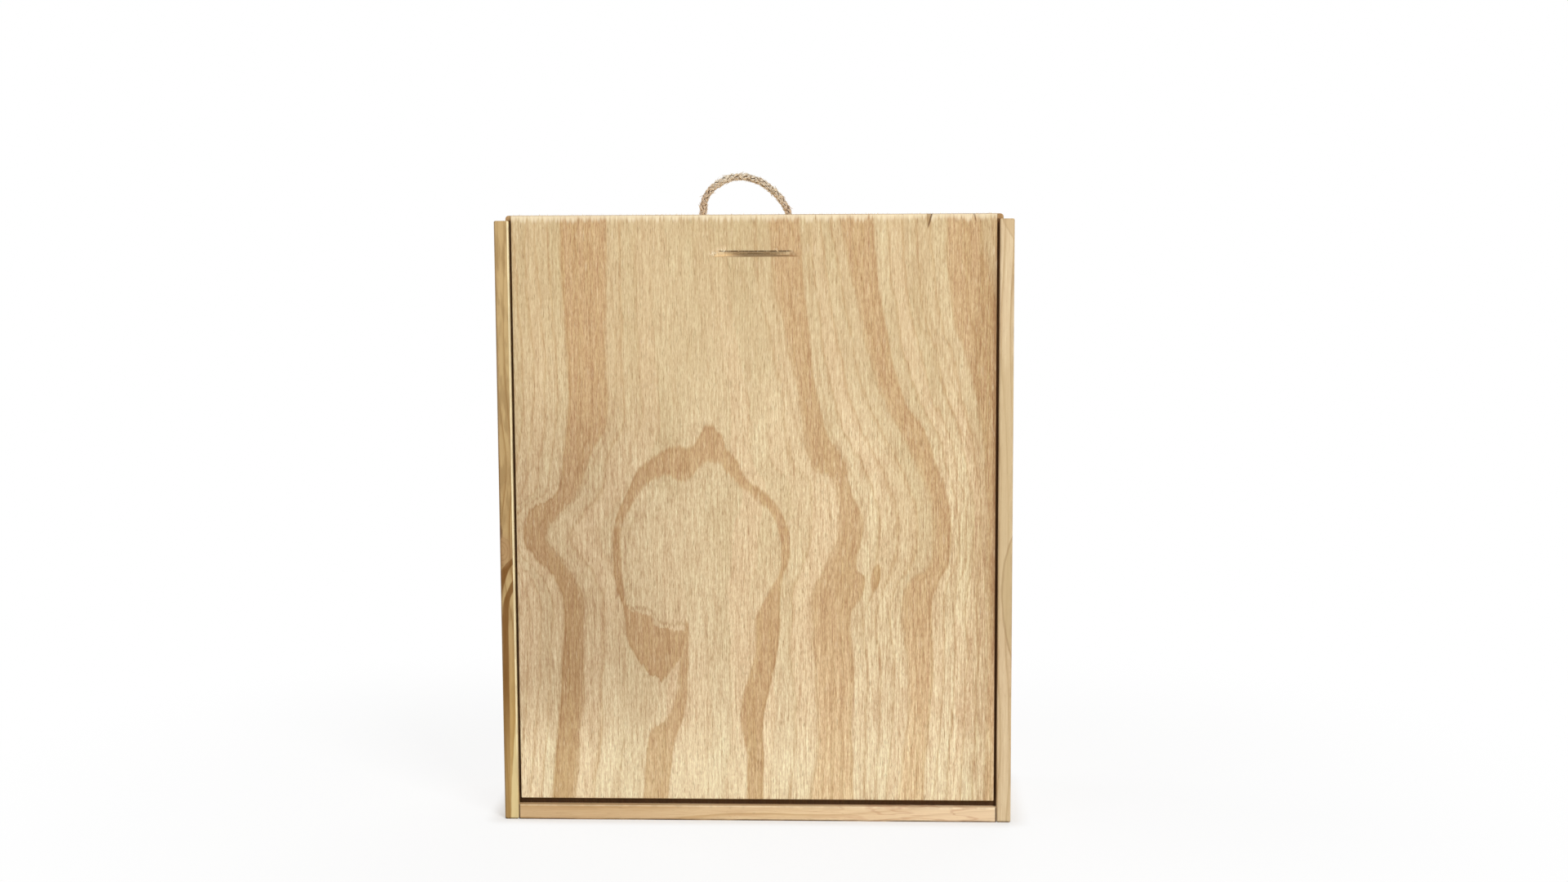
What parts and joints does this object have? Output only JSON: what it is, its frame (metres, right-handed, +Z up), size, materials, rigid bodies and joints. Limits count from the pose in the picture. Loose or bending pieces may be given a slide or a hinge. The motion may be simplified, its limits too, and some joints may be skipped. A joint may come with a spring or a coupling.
{
  "type": "wine box",
  "caption": "Upright wooden box divided into bottle bays, with a front lid that slides up in grooves and a knotted rope loop on top to lift it by.",
  "frame": {"origin": "middle of the footprint, on the floor", "axes": "+Z up, front with the sliding lid towards -Y, +X to the viewer's right"},
  "size_m": [0.305, 0.104, 0.3886],
  "materials": {
    "pine_board": "bare planed pine, straight grain",
    "lid_plywood": "bare rotary-cut pine plywood with wide growth figure",
    "back_plywood": "bare thin plywood",
    "divider_plywood": "bare thin plywood",
    "cotton_rope": "braided natural cotton",
    "nail_steel": "bright wire nails"
  },
  "bodies": {
    "root": {"left_side": "pine_board", "right_side": "pine_board", "top_board": "pine_board", "bottom_board": "pine_board", "back_panel": "back_plywood", "left_divider": "divider_plywood", "right_divider": "divider_plywood", "rope_end_left": "cotton_rope", "rope_end_right": "cotton_rope", "corner_nails_left": "nail_steel", "corner_nails_right": "nail_steel", "back_panel_pins": "nail_steel"},
    "lid": {"sliding_lid": "lid_plywood"},
    "handle": {"rope_loop": "cotton_rope"}
  },
  "joints": [
    {"name": "lid_slide", "type": "slide", "parent": "root", "child": "lid", "axis": [0, 0, 1], "range_m": [0, 0.35]},
    {"name": "handle_tilt", "type": "hinge", "parent": "root", "child": "handle", "pos_m": [-0.007, 0, 0.3628], "axis": [1, 0, 0], "range_deg": [-75, 75], "stiffness_Nm_per_rad": 0.01}
  ]
}
